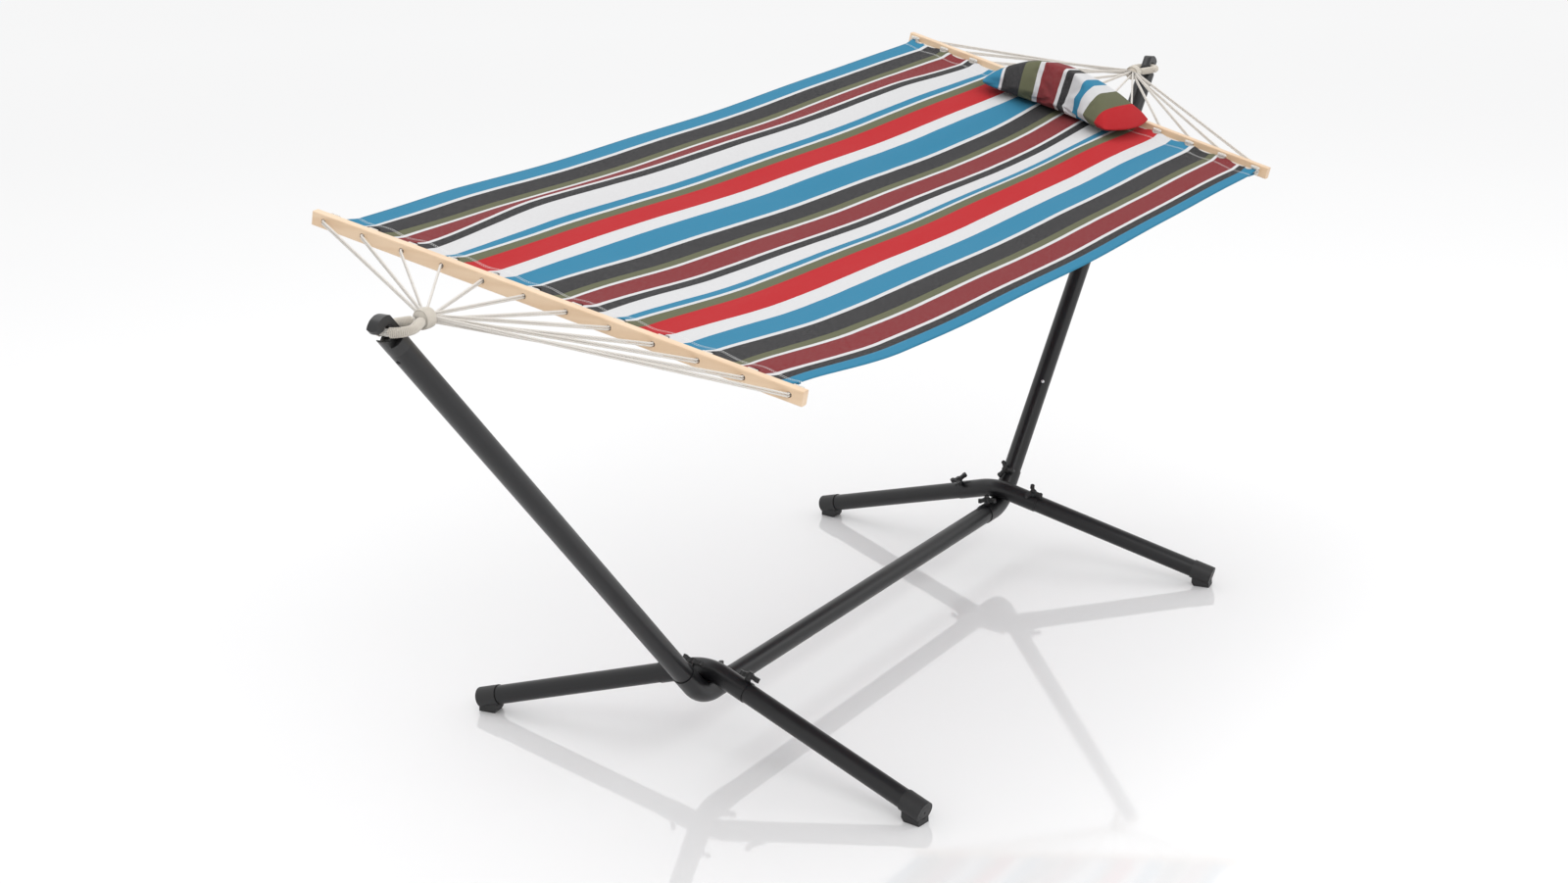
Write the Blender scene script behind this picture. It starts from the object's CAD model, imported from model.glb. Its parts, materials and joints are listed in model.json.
import json
from math import atan2, ceil, cos, exp, pi, radians, sin, sqrt

import bmesh
import bpy
from mathutils import Matrix, Vector


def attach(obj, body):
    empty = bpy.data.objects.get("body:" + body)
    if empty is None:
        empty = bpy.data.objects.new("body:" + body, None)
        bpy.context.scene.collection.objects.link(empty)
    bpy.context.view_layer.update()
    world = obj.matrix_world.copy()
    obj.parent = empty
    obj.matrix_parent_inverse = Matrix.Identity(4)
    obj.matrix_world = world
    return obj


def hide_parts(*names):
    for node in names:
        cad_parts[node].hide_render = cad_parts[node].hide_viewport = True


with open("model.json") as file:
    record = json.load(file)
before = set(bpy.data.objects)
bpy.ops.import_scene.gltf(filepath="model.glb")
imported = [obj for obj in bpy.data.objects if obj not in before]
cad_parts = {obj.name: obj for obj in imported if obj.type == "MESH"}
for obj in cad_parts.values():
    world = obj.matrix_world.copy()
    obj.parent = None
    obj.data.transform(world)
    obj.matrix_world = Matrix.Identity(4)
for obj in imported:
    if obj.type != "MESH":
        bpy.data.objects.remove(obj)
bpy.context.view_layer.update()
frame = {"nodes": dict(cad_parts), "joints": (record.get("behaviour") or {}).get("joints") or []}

cad_nodes = frame["nodes"]

# ---- Where things are, in metres ----

swing = next(joint for joint in frame["joints"] if joint["name"] == "hammock_swing")
SWING_Z = swing["pos_m"][2]
# The low side hangs TILT below level in the middle,
# by TWIST more at the pillow end and TWIST less at the foot end
TILT = radians(13.3)
TWIST = radians(1.4)
# The low ends of the bars are drawn together by YAW each
YAW = radians(2.6)

BAR_DROP = 0.039
BAR_X = 1.272
BAR_THICK = 0.020
STRINGS = 12
STRING_R = 0.0023
PITCH = 1.140 / (STRINGS - 1)
# The bars hang SIDE_SHIFT off the swing line, SKEW further towards the high side
# at the pillow end and as much less at the foot end
SIDE_SHIFT = -0.018
SKEW = 0.015
# The hem cord's place behind its bar, in the bar's frame and along the hammock
HEM_N = -BAR_THICK / 2 - 0.018
HEM_X = BAR_X + HEM_N * cos(YAW)
HEM_CORD_R = 0.0035
HEM_CORD_LEN = 1.138
# The cloth turns around the hem cord on this radius
TUCK_R = 0.0062

THROAT_X = 1.72243
RING_R = 0.034
RING_X = THROAT_X - RING_R
RING_CLOSE = radians(26)
ROPE_R = 0.0076
ARM_GAP = 0.0084
ARM_LEN = (RING_R * cos(RING_CLOSE) - ARM_GAP) / sin(RING_CLOSE)
ARM_END = RING_X - RING_R * sin(RING_CLOSE) - ARM_LEN * cos(RING_CLOSE)
COLLAR_OUT = ARM_END - ROPE_R * sin(RING_CLOSE) - 0.0006
COLLAR_LEN = 0.028
TWINE_R = 0.00135
COLLAR_IN = COLLAR_OUT - COLLAR_LEN


def hang(side):
    """The frame of one end of the hammock, with its origin on the swing line and its low side at -Y."""
    return Matrix.Translation((0, 0, SWING_Z)) @ Matrix.Rotation(TILT + side * TWIST, 4, "X")


def on_bar(side):
    """The middle of a bar in its end's frame, with +X out through the holes and +Y along the bar."""
    middle = Matrix.Translation((BAR_X, SIDE_SHIFT + side * SKEW, -BAR_DROP))
    return middle @ Matrix.Rotation(-YAW, 4, "Z")


def string_t(i):
    """How far hole i lies from the middle of its bar, towards the high side."""
    return ((STRINGS - 1) / 2 - i) * PITCH


def smooth(t):
    t = min(1, max(0, t))
    return t * t * (3 - 2 * t)


# ---- Finishes ----


class Wire:
    """A socket of a finish. Arithmetic on it adds the Math nodes."""

    def __init__(self, finish, socket):
        self.finish, self.socket = finish, socket

    def math(self, operation, *others):
        return self.finish.node("Math", [self, *others], operation=operation)

    def __add__(self, other): return self.math("ADD", other)
    def __radd__(self, other): return self.math("ADD", other)
    def __sub__(self, other): return self.math("SUBTRACT", other)
    def __rsub__(self, other):
        return self.finish.node("Math", [other, self], operation="SUBTRACT")
    def __mul__(self, other): return self.math("MULTIPLY", other)
    def __rmul__(self, other): return self.math("MULTIPLY", other)
    def __truediv__(self, other): return self.math("DIVIDE", other)
    def __lt__(self, other): return self.math("LESS_THAN", other)
    def __gt__(self, other): return self.math("GREATER_THAN", other)
    def __mod__(self, other): return self.math("FLOORED_MODULO", other)
    def __abs__(self): return self.math("ABSOLUTE")
    def sine(self): return self.math("SINE")


class Finish:
    """One material: a Principled surface, and the nodes that vary it."""

    def __init__(self, name, **plain):
        self.material = bpy.data.materials.new(name)
        self.material.use_nodes = True
        self.tree = self.material.node_tree
        self.surface = self.tree.nodes["Principled BSDF"]
        for socket, value in plain.items():
            self.surface.inputs[socket.replace("_", " ")].default_value = value

    def plug(self, socket, value):
        if isinstance(value, Wire):
            self.tree.links.new(value.socket, socket)
        else:
            socket.default_value = value

    def node(self, kind, sockets=(), outlet=0, stops=None, interpolation="LINEAR", **settings):
        node = self.tree.nodes.new("ShaderNode" + kind)
        for name, value in settings.items():
            setattr(node, name, value)
        if stops:
            ramp = node.color_ramp
            ramp.interpolation = interpolation
            while len(ramp.elements) > 1:
                ramp.elements.remove(ramp.elements[-1])
            for k, (place, colour) in enumerate(stops):
                stop = ramp.elements[0] if k == 0 else ramp.elements.new(place)
                stop.position = place
                stop.color = (*colour, 1) if len(colour) == 3 else colour
        pairs = sockets.items() if isinstance(sockets, dict) else enumerate(sockets)
        for name, value in pairs:
            self.plug(node.inputs[name], value)
        return Wire(self, node.outputs[outlet])

    def place(self, kind="Object"):
        return self.node("TexCoord", outlet=kind)

    def flat(self):
        """The flat cloth or cord under a point: metres across, metres along."""
        uv = self.node("UVMap", uv_map="flat")
        return [self.node("SeparateXYZ", [uv], outlet=k) for k in (0, 1)]

    def noise(self, where, scale, detail=2.0, rough=0.5, outlet=0):
        sockets = {"Vector": where, "Scale": scale, "Detail": detail, "Roughness": rough}
        return self.node("TexNoise", sockets, outlet)

    def stretch(self, where, scale):
        return self.node("Mapping", {"Vector": where, "Scale": scale})

    def blend(self, share, a, b):
        return self.node("Mix", {0: share, 6: a, 7: b}, outlet=2, data_type="RGBA")

    def wear(self, bump=None, depth=0.001, **sockets):
        if bump is not None:
            sockets["Normal"] = self.node("Bump", {"Height": bump, "Distance": depth, "Strength": 1.0})
        for name, value in sockets.items():
            self.plug(self.surface.inputs[name.replace("_", " ")], value)
        return self.material


def rgba(r, g, b):
    return (r, g, b, 1)


def powder_coat():
    base = rgba(0.007, 0.007, 0.008)
    finish = Finish("satin black powder coat", Base_Color=base, IOR=1.45, Coat_Weight=0.04)
    where = finish.place()
    orange_peel = finish.noise(where, 420, 3, 0.6)
    patches = finish.noise(where, 9, 3, 0.6)
    tone = finish.blend(patches, rgba(0.005, 0.005, 0.006), rgba(0.009, 0.009, 0.010))
    return finish.wear(orange_peel, 0.00012, Base_Color=tone, Roughness=0.30 + 0.10 * patches)


def moulded(name, tone, gloss, grain):
    finish = Finish(name, IOR=1.48)
    where = finish.place()
    fine = finish.noise(where, 1500, 3, 0.7)
    patches = finish.noise(where, 25, 2)
    light = rgba(tone * 1.6, tone * 1.6, tone * 1.65)
    colour = finish.blend(patches, rgba(tone, tone, tone * 1.05), light)
    return finish.wear(fine, grain, Base_Color=colour, Roughness=gloss + 0.12 * patches)


def zinc():
    finish = Finish("zinc plated steel", Metallic=1.0)
    where = finish.place()
    spangle = finish.noise(where, 900, 3, 0.6)
    colour = finish.blend(spangle, rgba(0.50, 0.50, 0.52), rgba(0.74, 0.74, 0.76))
    return finish.wear(spangle, 0.00005, Base_Color=colour, Roughness=0.22 + 0.16 * spangle)


def pine():
    finish = Finish("varnished pine", IOR=1.5, Coat_Weight=0.35, Coat_Roughness=0.22)
    where = finish.place()
    bend = finish.noise(finish.stretch(where, (6, 1.1, 6)), 1.0, 2, 0.5)
    growth = finish.noise(finish.stretch(where, (38, 0.9, 46)), 1.0, 2, 0.45)
    rings = (growth * 9 + bend * 4).sine() * 0.5 + 0.5
    pores = finish.noise(finish.stretch(where, (900, 16, 900)), 1.0, 3, 0.6)
    early = finish.blend(bend, rgba(0.76, 0.57, 0.39), rgba(0.72, 0.51, 0.33))
    late = finish.blend(rings * 0.62, early, rgba(0.62, 0.41, 0.24))
    colour = finish.blend(pores * 0.35, late, rgba(0.80, 0.64, 0.47))
    grain = pores * 0.6 + rings * 0.4
    return finish.wear(grain, 0.00014, Base_Color=colour, Roughness=0.42 + 0.16 * pores)


def cotton(name, lay, tone=(0.84, 0.81, 0.77), radius=STRING_R):
    """Off-white cotton cord: its strands cross in a braid, or run as a plain twist."""
    finish = Finish(name, Sheen_Weight=0.3, Sheen_Roughness=0.5)
    around, along = finish.flat()
    turn = 2 * pi / (lay * radius)
    a = (around * 4 / radius + along * turn).sine()
    b = (around * 4 / radius - along * turn).sine()
    braid = finish.node("Math", [a, b], operation="MAXIMUM") * 0.5 + 0.5
    fibre = finish.noise(finish.stretch(finish.place(), (1, 1, 1)), 2600, 2, 0.7)
    dirt = finish.noise(finish.place(), 60, 2)
    light = finish.blend(dirt, rgba(*tone), rgba(*(c * 0.86 for c in tone)))
    deep = rgba(tone[0] * 0.50, tone[1] * 0.44, tone[2] * 0.36)
    colour = finish.blend(braid, deep, light)
    relief = braid + fibre * 0.35
    return finish.wear(relief, 0.0005, Base_Color=colour, Roughness=0.78 + 0.12 * fibre)


BLUE, CHARCOAL, OLIVE = (0.030, 0.215, 0.360), (0.018, 0.018, 0.020), (0.122, 0.127, 0.068)
MAROON, RED, WHITE = (0.205, 0.012, 0.016), (0.470, 0.012, 0.017), (0.660, 0.660, 0.668)
# How much pale weft shows through each colour
SHOW = {BLUE: 0.03, CHARCOAL: 0.16, OLIVE: 0.07, MAROON: 0.15, RED: 0.03, WHITE: 0.0}

# The stripes of one repeat, from the high side: colour, and width in millimetres
REPEAT = (
    (BLUE, 61), (WHITE, 11), (CHARCOAL, 52), (OLIVE, 20), (WHITE, 8), (MAROON, 58), (WHITE, 9),
    (CHARCOAL, 24), (WHITE, 51), (BLUE, 20), (WHITE, 9), (OLIVE, 27), (RED, 68), (WHITE, 45),
)
PILLOW_STRIPES = (
    (BLUE, 86), (WHITE, 9), (CHARCOAL, 56), (OLIVE, 46), (WHITE, 16), (MAROON, 69), (WHITE, 10),
    (CHARCOAL, 24), (WHITE, 41), (BLUE, 32), (WHITE, 33), (OLIVE, 54), (RED, 84),
)
PILLOW_FIRST_CUT = 0.030
BED_W = 1.182
# The high edge starts part-way into the blue stripe
FIRST_CUT = 0.016
# A blue border closes the low edge
SIDE_BORDER = 0.031


def woven(name, stripes, first, seams, edge=None):
    """Striped cotton. first is metres of the repeat cut off before the edge.

    seams are rows of stitches, by their distance from the middle of the cloth's length,
    and beyond edge a blue border covers the stripes.
    """
    finish = Finish(name, Sheen_Weight=0.02, Sheen_Roughness=0.4, IOR=1.2)
    across, along = finish.flat()
    total = sum(width for colour, width in stripes)
    drift = finish.noise(finish.node("CombineXYZ", [across * 8, along * 5, 0.0]), 1.0, 3, 0.6)
    place = (across + first + (drift - 0.5) * 0.0035) % (total / 1000) / (total / 1000)
    stops, done = [], 0
    for colour, width in stripes:
        stops.append((done / total, (*colour, SHOW[colour])))
        done += width
    colour = finish.node("ValToRGB", [place], stops=stops, interpolation="CONSTANT")
    show = Wire(finish, colour.socket.node.outputs["Alpha"])
    if edge:
        colour = finish.blend(across > edge, colour, rgba(*BLUE))
    warp = (across * (2 * pi / 0.0026)).sine()
    weft = (along * (2 * pi / 0.0030)).sine()
    weave = (warp * weft) * 0.5 + 0.5
    slub = finish.noise(finish.node("CombineXYZ", [across * 520, along * 60, 0.0]), 1.0, 3, 0.7)
    fleck = (slub * weave) > 0.34
    colour = finish.blend(show * fleck, colour, rgba(0.62, 0.60, 0.58))
    fade = finish.noise(finish.node("CombineXYZ", [across * 14, along * 3, 0.0]), 1.0, 4, 0.6)
    colour = finish.blend(fade * 0.03, colour, rgba(0.55, 0.54, 0.53))
    colour = finish.blend(slub * 0.16, colour, rgba(0.02, 0.02, 0.025))
    height = weave * 0.8 + slub * 0.5
    for row in seams:
        line = (abs(abs(along) - row) < 0.0009) * ((across * (2 * pi / 0.0052)).sine() > -0.45)
        colour = finish.blend(line, colour, rgba(0.78, 0.78, 0.77))
        height = height + line * 1.5
    return finish.wear(height, 0.00035, Base_Color=colour, Roughness=0.82 + 0.1 * slub)


BLACK = powder_coat()
CAPS = moulded("black nylon", 0.012, 0.42, 0.00010)
HOOK = moulded("black hook plastic", 0.010, 0.24, 0.00004)
ZINC = zinc()
PINE = pine()
BRAID = cotton("braided cotton", 3.2)
TWINE = cotton("binding twine", 2.4, (0.82, 0.77, 0.69), 0.00135)
SOFT_ROPE = cotton("loose rope strands", 4.5, (0.80, 0.78, 0.74), 0.0024)

for name, thing in cad_nodes.items():
    if name.startswith(("hub", "post_front", "post_back", "base", "leg")):
        finish = BLACK
    elif name.startswith(("foot", "wing")):
        finish = CAPS
    elif name == "post_plugs":
        finish = ZINC
    elif name.startswith("hook"):
        finish = HOOK
    elif name.startswith("bar"):
        finish = PINE
    else:
        finish = BRAID
    thing.data.materials.clear()
    thing.data.materials.append(finish)


# ---- Making pieces ----


def piece(name, bm, finish, body, nodes=(), flip=None, split=None):
    """Makes an object of bm, drawn in metres at its real place."""
    if flip:
        bmesh.ops.transform(bm, matrix=flip, verts=bm.verts)
        if flip.determinant() < 0:
            bmesh.ops.reverse_faces(bm, faces=bm.faces)
    mesh = bpy.data.meshes.new(name)
    bm.to_mesh(mesh)
    bm.free()
    mesh.materials.append(finish)
    mesh.shade_smooth()
    thing = bpy.data.objects.new(name, mesh)
    bpy.context.scene.collection.objects.link(thing)
    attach(thing, body)
    if nodes:
        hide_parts(*nodes)
    return thing


def frames(path, first_up=Vector((0, 0, 1))):
    """A turned frame at each point of a path, with no twist between neighbours."""
    found, up = [], first_up
    for k, point in enumerate(path):
        ahead = path[min(k + 1, len(path) - 1)]
        behind = path[max(k - 1, 0)]
        forward = (ahead - behind).normalized()
        side = up.cross(forward)
        if side.length < 1e-6:
            side = Vector((1, 0, 0)).cross(forward)
        side.normalize()
        up = forward.cross(side)
        turn = Matrix((side, up, forward)).transposed().to_4x4()
        found.append(Matrix.Translation(point) @ turn)
    return found


def cord(bm, path, radius, sides=8, up=Vector((0, 0, 1)), ends=True):
    """Sweeps a round cord along a path. Its flat coordinates are metres around and metres along."""
    path = [Vector(p) for p in path]
    turned = frames(path, up)
    one = bmesh.new()
    flat = one.loops.layers.uv.new("flat")
    ring = bmesh.ops.create_circle(one, segments=sides, radius=radius, matrix=turned[0])["verts"]
    edges = list({e for v in ring for e in v.link_edges})
    if ends:
        bmesh.ops.contextual_create(one, geom=edges)
        for face in one.faces:
            face.normal_update()
            if face.normal.dot(turned[0].col[2].to_3d()) > 0:
                face.normal_flip()
    length = 0.0
    girth = 2 * pi * radius
    for k in range(1, len(path)):
        grown = bmesh.ops.extrude_edge_only(one, edges=edges)["geom"]
        fresh = [g for g in grown if isinstance(g, bmesh.types.BMVert)]
        edges = [e for e in grown if isinstance(e, bmesh.types.BMEdge)]
        edges = [e for e in edges if all(v in fresh for v in e.verts)]
        walls = [g for g in grown if isinstance(g, bmesh.types.BMFace)]
        bmesh.ops.transform(one, matrix=turned[k] @ turned[k - 1].inverted(), verts=fresh)
        step = (path[k] - path[k - 1]).length
        inverse = (turned[k].inverted(), turned[k - 1].inverted())
        new = set(fresh)
        for wall in walls:
            angles = []
            for loop in wall.loops:
                p = inverse[0 if loop.vert in new else 1] @ loop.vert.co
                angles.append(atan2(p.y, p.x) / (2 * pi) % 1)
            if max(angles) - min(angles) > 0.5:
                angles = [a + 1 if a < 0.5 else a for a in angles]
            for loop, a in zip(wall.loops, angles):
                loop[flat].uv = (a * girth, length + (step if loop.vert in new else 0))
        length += step
    if ends:
        bmesh.ops.contextual_create(one, geom=edges)
    bmesh.ops.recalc_face_normals(one, faces=one.faces)
    mesh = bpy.data.meshes.new("cord")
    one.to_mesh(mesh)
    one.free()
    bm.from_mesh(mesh)
    bpy.data.meshes.remove(mesh)


def new_bm():
    bm = bmesh.new()
    bm.loops.layers.uv.new("flat")
    return bm


def along_line(a, b, gap=0.02):
    a, b = Vector(a), Vector(b)
    steps = max(2, ceil((b - a).length / gap))
    return [a.lerp(b, k / steps) for k in range(steps + 1)]


def rounded(points, radius, steps=5):
    """The path through points, with each corner turned on a short curve."""
    points = [Vector(p) for p in points]
    path = [points[0]]
    for before, corner, after in zip(points, points[1:], points[2:]):
        cut = min(radius, (corner - before).length / 2, (after - corner).length / 2)
        start = corner + (before - corner).normalized() * cut
        end = corner + (after - corner).normalized() * cut
        for k in range(steps + 1):
            t = k / steps
            path.append(start * (1 - t) ** 2 + corner * 2 * t * (1 - t) + end * t * t)
    path.append(points[-1])
    return path


def dense(path, gap):
    """The same path with no two points further apart than gap."""
    found = [path[0]]
    for a, b in zip(path, path[1:]):
        found += along_line(a, b, gap)[1:]
    return found


# Each end is drawn at the back, and the front end is its mirror
ENDS = (("front", -1, Matrix.Diagonal((-1, 1, 1, 1))), ("back", 1, Matrix.Identity(4)))


# ---- Cords ----

HITCH_TURNS = 2.3
WRAP_WIDE, WRAP_HIGH = 0.0054, 0.0062
LIFT = Matrix.Translation((0, 0, SWING_Z))
RING_ARC = (pi / 2 + RING_CLOSE) * RING_R
HALF_RING = RING_ARC + ARM_LEN


def column(i):
    return (STRINGS / 2 - 1) / 2 - i // 2


def string_paths(i, bar):
    """The doubled cord of hole i: two strands from the collar through the bar to the hem cord.

    Each strand ends in its half of a hitch around the hem cord.
    """
    t = string_t(i)
    gap = 2 * STRING_R + 0.0008
    fan = 2 * STRING_R * 0.8
    start_y = column(i) * fan * (0.9 + 0.22 * abs(column(i)))
    knot_r = HEM_CORD_R + STRING_R + 0.0004
    for k in (0, 1):
        side = 2 * k - 1
        low = side * gap / 2
        start = Vector((COLLAR_IN + 0.004, start_y, (i % 2 * 2 + k - 1.5) * fan))
        bends = [bar @ Vector(p) for p in (
            (BAR_THICK / 2 + 0.003, t, low),
            (-BAR_THICK / 2 - 0.001, t, low),
            (HEM_N + 0.002, t + side * 0.001, side * knot_r),
        )]
        path = dense(rounded([start] + bends, 0.004), 0.03)
        for j in range(1, int(HITCH_TURNS * 12) + 1):
            angle = pi / 2 + 2 * pi * j / 12
            across = t + side * (0.001 + 0.0046 * j / 12)
            around = (HEM_N + knot_r * cos(angle), across, side * knot_r * sin(angle))
            path.append(bar @ Vector(around))
        yield path


def make_strings():
    for end, side, flip in ENDS:
        bm = new_bm()
        bar = on_bar(side)
        for i in range(STRINGS):
            for path in string_paths(i, bar):
                cord(bm, path, STRING_R, 8)
            # The wrap that closes the hitch behind the bar
            wrap = []
            for j in range(31):
                angle = 2 * pi * j / 10
                n = HEM_N + 0.0095 + 0.0022 * j / 30
                across = string_t(i) + WRAP_WIDE * cos(angle)
                wrap.append(bar @ Vector((n, across, WRAP_HIGH * sin(angle))))
            cord(bm, wrap, 0.0018, 6, Vector((1, 0, 0)))
            if side < 0:
                continue
            # At the pillow end a loose loop of it lies on the hem
            loop = []
            for j in range(25):
                angle = 2 * pi * j / 16 + 0.6
                across = string_t(i) + 0.0115 * sin(angle)
                above = TUCK_R + 0.0040 + 0.0030 * j / 24
                loop.append(bar @ Vector((HEM_N + 0.0065 * cos(angle), across, above)))
            cord(bm, loop, STRING_R, 8, Vector((0, 0, 1)))
        node = "strings_" + end
        piece(node + "_cords", bm, BRAID, "hammock", [node], flip @ hang(side))


def ring_point(t):
    """A point on the ring's middle line, t metres from its outermost point, and the way out there."""
    side = 1 if t >= 0 else -1
    a = min(abs(t), RING_ARC) / RING_R
    out = Vector((cos(a), side * sin(a), 0))
    on_arc = Vector((RING_X, 0, 0)) + out * RING_R
    way = Vector((-cos(RING_CLOSE), -side * sin(RING_CLOSE), 0))
    return on_arc + way * max(0, abs(t) - RING_ARC), out


def make_ring():
    for end, side, flip in ENDS:
        bm = new_bm()
        strand_r = ROPE_R / 4.35
        layout = [(0, 0)] + [(2.06 * strand_r, k * pi / 3) for k in range(6)]
        layout += [(3.35 * strand_r, k * pi / 6 + 0.1) for k in range(12)]
        count = 72
        for off, angle in layout:
            path = []
            for k in range(count + 1):
                t = (2 * k / count - 1) * (HALF_RING - 0.002)
                point, out = ring_point(t)
                turn = angle + t * 14
                path.append(point + out * off * cos(turn) + Vector((0, 0, off * sin(turn))))
            cord(bm, path, strand_r, 6)
        node = "ring_" + end
        piece(node + "_strands", bm, SOFT_ROPE, "stand", [node], flip @ LIFT)
        bm = new_bm()
        for arm in (1, -1):
            start = 0.011
            stop = HALF_RING - 0.007
            turns = (stop - start) / (2 * TWINE_R + 0.0003)
            steps = int(turns * 14)
            path = []
            for k in range(steps + 1):
                t = start + (stop - start) * k / steps
                point, out = ring_point(arm * t)
                angle = 2 * pi * turns * k / steps
                swell = ROPE_R + TWINE_R * 0.85 + 0.0003 * sin(t * 90)
                path.append(point + out * swell * cos(angle) + Vector((0, 0, swell * sin(angle))))
            cord(bm, path, TWINE_R, 6)
        node = "whipping_" + end
        piece(node + "_twine", bm, TWINE, "stand", [node], flip @ LIFT)
        bm = new_bm()
        path, turns = [], 12
        steps = turns * 22
        for k in range(steps + 1):
            x = COLLAR_IN + 0.001 + (COLLAR_LEN - 0.002) * k / steps
            swell = 0.0186 + 0.0012 * sin(pi * k / steps)
            angle = 2 * pi * turns * k / steps
            path.append((x, swell * cos(angle), swell * sin(angle)))
        cord(bm, path, 0.00125, 6)
        core = [(COLLAR_IN + 0.002 + (COLLAR_LEN - 0.004) * k / 6, 0, 0) for k in range(7)]
        cord(bm, core, 0.0180, 28)
        node = "collar_" + end
        piece(node + "_binding", bm, TWINE, "hammock", [node], flip @ hang(side))


def make_hem_cords():
    for end, side, flip in ENDS:
        bm = new_bm()
        path = along_line((HEM_N, -HEM_CORD_LEN / 2, 0), (HEM_N, HEM_CORD_LEN / 2, 0), 0.01)
        cord(bm, path, HEM_CORD_R, 8)
        place = flip @ hang(side) @ on_bar(side)
        piece("hem_" + end + "_cord", bm, BRAID, "hammock", ["hem_cord_" + end], place)


# ---- Bed cloth ----

BED_SAG = 0.031
HEM_DEEP = 0.050
CLOTH_THICK = 0.0022
# Half the width of each gathered end, and how much the pillow end is gathered
FOOT_HALF, HEAD_HALF, HEAD_GATHER = 0.546, 0.575, 0.973
SPAN = HEM_X + 0.0004
# Long soft folds: metres across from the middle, half width,
# and the rise beyond it at the foot end and at the pillow end
FOLDS = (
    (-0.33, 0.12, -0.002, 0.004),
    (-0.15, 0.055, -0.004, -0.026),
    (0.11, 0.042, 0.010, 0.025),
    (0.24, 0.050, -0.008, 0.008),
    (0.33, 0.045, 0.020, 0.018),
    (0.426, 0.036, -0.032, -0.013),
)


def at_bar(x, u):
    """Where the cloth's point u crosses the hem of the end that x is in."""
    from_edge = u + BED_W / 2
    if x < 0:
        return from_edge * (2 * FOOT_HALF / BED_W) - FOOT_HALF
    return from_edge * HEAD_GATHER - HEAD_HALF


def bed_point(x, u):
    """How far a point of the cloth lies from the middle line, and how high."""
    reach = SPAN - abs(x)
    to_foot = smooth(1 - (x + SPAN) / 0.42)
    middle = at_bar(1, u)
    t = middle + (at_bar(-1, u) - middle) * to_foot
    along = (x + 0.9) / 1.7
    free = smooth(reach / 0.46)
    # The cloth between the bars stays nearly flat: the bars' twist is taken up close to them
    rise = -t * TWIST * x / HEM_X
    for place, half, foot, head in FOLDS:
        rise += (foot + (head - foot) * along) * smooth((u - place + half) / (2 * half))
    level = -BED_SAG * (1 - (x / SPAN) ** 2) + rise * free
    pull = exp(-reach / 0.10)
    phase = 2 * pi * (t - string_t(0)) / PITCH
    level += pull * (0.0042 if x < 0 else 0.0030) * (cos(phase) - 1)
    level += 0.0016 * sin(x * 9 + u * 5) * free
    return t, level


def hung(x, t, level):
    """Puts a point of the cloth where it hangs."""
    w = x / HEM_X
    y = SIDE_SHIFT + w * SKEW - HEM_N * sin(YAW) + t * cos(YAW)
    z = level - BAR_DROP
    lean = TILT + w * TWIST
    across = y * cos(lean) - z * sin(lean)
    return Vector((x + w * t * sin(YAW), across, SWING_Z + y * sin(lean) + z * cos(lean)))


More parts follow.
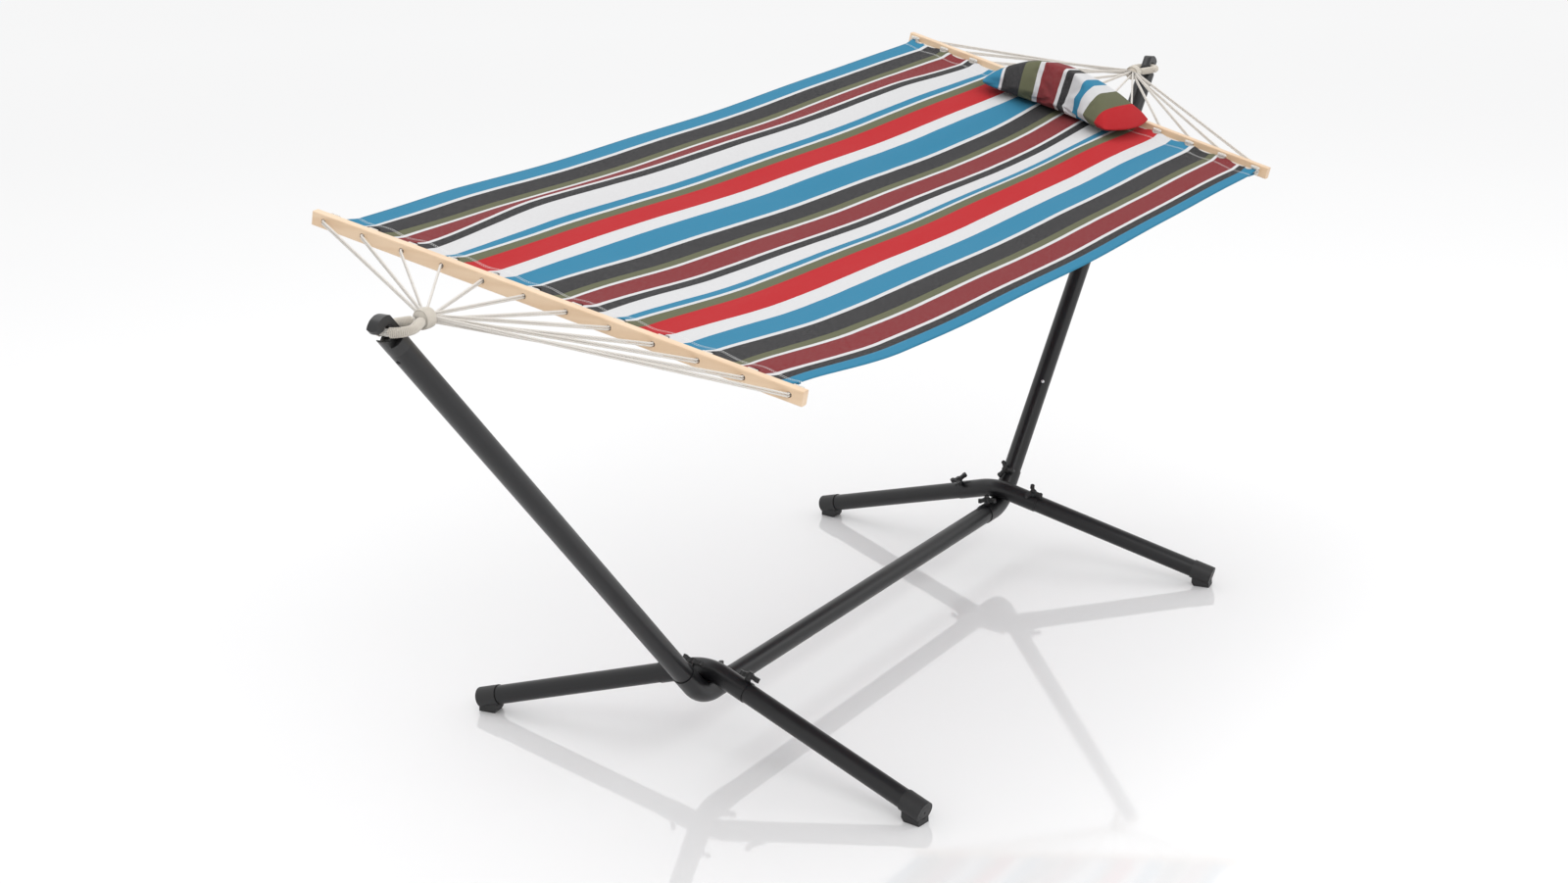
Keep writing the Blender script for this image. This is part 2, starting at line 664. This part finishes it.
def make_bed():
    rows, columns = 214, 130
    flat_len = 2 * (SPAN + pi * TUCK_R + HEM_DEEP)
    bm = bmesh.new()
    flat = bm.loops.layers.uv.new("flat")
    bmesh.ops.create_grid(bm, x_segments=rows, y_segments=columns, size=0.5)
    bmesh.ops.scale(bm, vec=(flat_len, BED_W, 1), verts=bm.verts)
    hem_start = SPAN - 0.055
    edges = [e for e in bm.edges if all(abs(v.co.x) > hem_start - 0.004 for v in e.verts)]
    bmesh.ops.subdivide_edges(bm, edges=edges, cuts=1, use_grid_fill=True)
    # Each string has a slit in the hem's fold
    slit_x = SPAN + pi * TUCK_R / 2
    half_long, half_wide = 0.027, 0.0140
    slits = []
    for side in (-1, 1):
        for i in range(STRINGS):
            low, high = at_bar(side, -BED_W / 2), at_bar(side, BED_W / 2)
            u = ((string_t(i) - low) / (high - low) - 0.5) * BED_W
            slits.append((side * slit_x, min(max(u, -BED_W / 2 + 0.022), BED_W / 2 - 0.022)))

    def inside(x, y, slit):
        return ((x - slit[0]) / half_long) ** 2 + ((y - slit[1]) / half_wide) ** 2

    doomed = []
    for face in bm.faces:
        x, y, z = face.calc_center_median()
        if abs(x) > hem_start and any(inside(x, y, s) < 1 for s in slits):
            doomed.append(face)
    bmesh.ops.delete(bm, geom=doomed, context="FACES")
    for v in bm.verts:
        in_hem = hem_start < abs(v.co.x) < flat_len / 2 - 0.001
        if v.is_boundary and in_hem and abs(v.co.y) < BED_W / 2 - 0.001:
            slit = min(slits, key=lambda s: inside(v.co.x, v.co.y, s))
            r = sqrt(inside(v.co.x, v.co.y, slit))
            if 0 < r < 2:
                v.co.x = slit[0] + (v.co.x - slit[0]) / r
                v.co.y = slit[1] + (v.co.y - slit[1]) / r
    for face in bm.faces:
        for loop in face.loops:
            loop[flat].uv = (BED_W / 2 - loop.vert.co.y, loop.vert.co.x)
    for v in bm.verts:
        s, u = v.co.x, v.co.y
        side = 1 if s > 0 else -1
        beyond = abs(s) - SPAN
        if beyond <= 0:
            t, z = bed_point(s, u)
            lift = TUCK_R * smooth(1 + beyond / HEM_DEEP)
            v.co = hung(s, t, z + lift)
            continue
        t, z = bed_point(side * SPAN, u)
        if beyond < pi * TUCK_R:
            a = beyond / TUCK_R
            v.co = hung(side * (SPAN + TUCK_R * sin(a)), t, z + TUCK_R * cos(a))
        else:
            back = beyond - pi * TUCK_R
            x = side * (SPAN - back)
            t, z = bed_point(x, u)
            drop = TUCK_R * smooth(1 - back / HEM_DEEP) + 0.0029 * smooth(back / HEM_DEEP)
            v.co = hung(x, t, z - drop)
    bm.normal_update()
    cloth = piece("bed_cloth_striped", bm, BED_WEAVE, "hammock", ["bed_cloth"])
    thick = cloth.modifiers.new("thickness", "SOLIDIFY")
    thick.thickness = CLOTH_THICK
    thick.offset = 0


# ---- Pillow ----

PILLOW_FLAT = (0.310, 0.500)
PILLOW_X, PILLOW_Y = 1.150, 0.0064
# Stuffed, it is drawn in to this width and length. Heights are above the bed.
PILLOW_SIZE = (0.236, 0.474)
PILLOW_TOP, PILLOW_SEAM, PILLOW_BELLY = 0.124, 0.036, 0.033
PILLOW_DROOP = 0.012
# The bed's sag under it, and the air that keeps the two apart
SAG_UNDER, AIR_UNDER = 0.030, 0.0025


def make_pillow():
    bm = bmesh.new()
    flat = bm.loops.layers.uv.new("flat")
    wide, long = PILLOW_FLAT
    columns, rows = 34, 60
    for side in (1, -1):
        made = bmesh.ops.create_grid(bm, x_segments=columns, y_segments=rows, size=0.5)["verts"]
        bmesh.ops.scale(bm, vec=(wide, long, 1), verts=made)
        for v in made:
            edge = min(wide / 2 - abs(v.co.x), long / 2 - abs(v.co.y))
            v.co.z = side * 0.012 * smooth(edge / 0.03)
            # Its short seams are cut a little full, so that they stay straight when it is stuffed
            v.co.y *= 1 + 0.09 * (1 - (2 * v.co.x / wide) ** 2) * (2 * v.co.y / long) ** 4
        if side < 0:
            bmesh.ops.reverse_faces(bm, faces=list({f for v in made for f in v.link_faces}))
    for face in bm.faces:
        for loop in face.loops:
            loop[flat].uv = (long / 2 - loop.vert.co.y, loop.vert.co.x)
    bmesh.ops.remove_doubles(bm, verts=bm.verts, dist=0.0005)
    bmesh.ops.recalc_face_normals(bm, faces=bm.faces)
    mesh = bpy.data.meshes.new("pillow_cover")
    bm.to_mesh(mesh)
    bm.free()
    thing = bpy.data.objects.new("pillow_cover", mesh)
    bpy.context.scene.collection.objects.link(thing)
    inflate(thing)
    bm = bmesh.new()
    bm.from_mesh(thing.data)
    bpy.data.objects.remove(thing)
    return bm


def inflate(thing, frames_run=26):
    scene = bpy.context.scene
    cloth = thing.modifiers.new("stuffing", "CLOTH")
    settings = cloth.settings
    settings.quality = 6
    settings.mass = 0.25
    settings.tension_stiffness = 25
    settings.compression_stiffness = 25
    settings.shear_stiffness = 10
    settings.bending_stiffness = 0.6
    settings.use_pressure = True
    settings.uniform_pressure_force = 5.0
    settings.effector_weights.gravity = 0
    cloth.collision_settings.use_collision = False
    cloth.point_cache.frame_start = 1
    cloth.point_cache.frame_end = frames_run
    for f in range(1, frames_run + 1):
        scene.frame_set(f)
    settled = thing.evaluated_get(bpy.context.evaluated_depsgraph_get())
    mesh = bpy.data.meshes.new_from_object(settled)
    thing.modifiers.clear()
    thing.data = mesh
    scene.frame_set(1)


def place_pillow(bm):
    """Sets the stuffed cover on the bed: its seam level, its flat underside and its crown."""
    xs = [v.co.x for v in bm.verts]
    ys = [v.co.y for v in bm.verts]
    zs = [v.co.z for v in bm.verts]
    low, high = min(zs), max(zs)
    size = Vector((max(xs) - min(xs), max(ys) - min(ys)))
    wide, long = PILLOW_SIZE
    for v in bm.verts:
        x = v.co.x * wide / size.x
        y = v.co.y * long / size.y
        if v.co.z >= 0:
            z = v.co.z / high * (PILLOW_TOP - PILLOW_SEAM)
        else:
            z = -PILLOW_BELLY * (1 - (1 - v.co.z / low) ** 1.6)
        droop = PILLOW_DROOP * (abs(y) / (long / 2)) ** 3
        v.co = Vector((x, y, PILLOW_SEAM + z - droop))
    w = PILLOW_X / HEM_X
    bed = -BAR_DROP - SAG_UNDER * (1 - w * w) + AIR_UNDER
    place = LIFT @ Matrix.Rotation(TILT + w * TWIST, 4, "X")
    place = place @ Matrix.Translation((PILLOW_X, PILLOW_Y, bed)) @ Matrix.Rotation(-YAW * w, 4, "Z")
    pillow = piece("pillow_striped", bm, PILLOW_WEAVE, "pillow", ["pillow"], place)
    smoother = pillow.modifiers.new("finer", "SUBSURF")
    smoother.levels = smoother.render_levels = 1


HEM_SEAMS = (SPAN - HEM_DEEP + 0.006, SPAN - HEM_DEEP)
BED_WEAVE = woven("striped bed cotton", REPEAT, FIRST_CUT, HEM_SEAMS, BED_W - SIDE_BORDER)
PILLOW_WEAVE = woven("striped pillow cotton", PILLOW_STRIPES, PILLOW_FIRST_CUT, ())

make_strings()
make_ring()
make_hem_cords()
make_bed()
place_pillow(make_pillow())


# ---- Floor, light and camera ----


def make_floor():
    bm = bmesh.new()
    bmesh.ops.create_grid(bm, x_segments=1, y_segments=1, size=30)
    mesh = bpy.data.meshes.new("floor")
    bm.to_mesh(mesh)
    bm.free()
    finish = Finish("pale floor", Base_Color=rgba(0.90, 0.90, 0.905), Roughness=0.05, IOR=1.9)
    mesh.materials.append(finish.material)
    floor = bpy.data.objects.new("floor", mesh)
    floor.location.z = -0.0005
    bpy.context.scene.collection.objects.link(floor)


def softbox(name, place, aim, size, power):
    light = bpy.data.lights.new(name, "AREA")
    light.shape = "RECTANGLE"
    light.size, light.size_y = size
    light.energy = power
    lamp = bpy.data.objects.new(name, light)
    lamp.location = place
    lamp.rotation_euler = (Vector(aim) - Vector(place)).to_track_quat("-Z", "Y").to_euler()
    bpy.context.scene.collection.objects.link(lamp)


def make_camera():
    heading, pitch, roll = 0.5724, -0.3125, -0.0249
    ahead = Vector((cos(pitch) * cos(heading), cos(pitch) * sin(heading), sin(pitch)))
    right = Vector((sin(heading), -cos(heading), 0))
    up = right.cross(ahead)
    right, up = right * cos(roll) + up * sin(roll), up * cos(roll) - right * sin(roll)
    camera = bpy.data.objects.new("camera", bpy.data.cameras.new("camera"))
    camera.data.lens = 52.83
    camera.data.sensor_width = 36
    camera.data.clip_end = 200
    turn = Matrix((right, up, -ahead)).transposed().to_4x4()
    camera.matrix_world = Matrix.Translation((-4.7719, -2.8338, 2.3506)) @ turn
    bpy.context.scene.collection.objects.link(camera)
    bpy.context.scene.camera = camera


make_floor()
softbox("key", (-3.0, -3.5, 5.0), (0, 0, 0.6), (4.0, 3.0), 90)
softbox("fill", (3.5, -4.0, 3.5), (0.3, 0, 0.6), (3.0, 3.0), 30)
softbox("top", (0.5, 2.0, 5.5), (0, 0, 0.5), (5.0, 3.0), 60)
bpy.context.scene.view_settings.view_transform = "Standard"
world = bpy.data.worlds.new("studio")
world.use_nodes = True
world.node_tree.nodes["Background"].inputs["Color"].default_value = (1, 1, 1, 1)
world.node_tree.nodes["Background"].inputs["Strength"].default_value = 0.97
bpy.context.scene.world = world
make_camera()
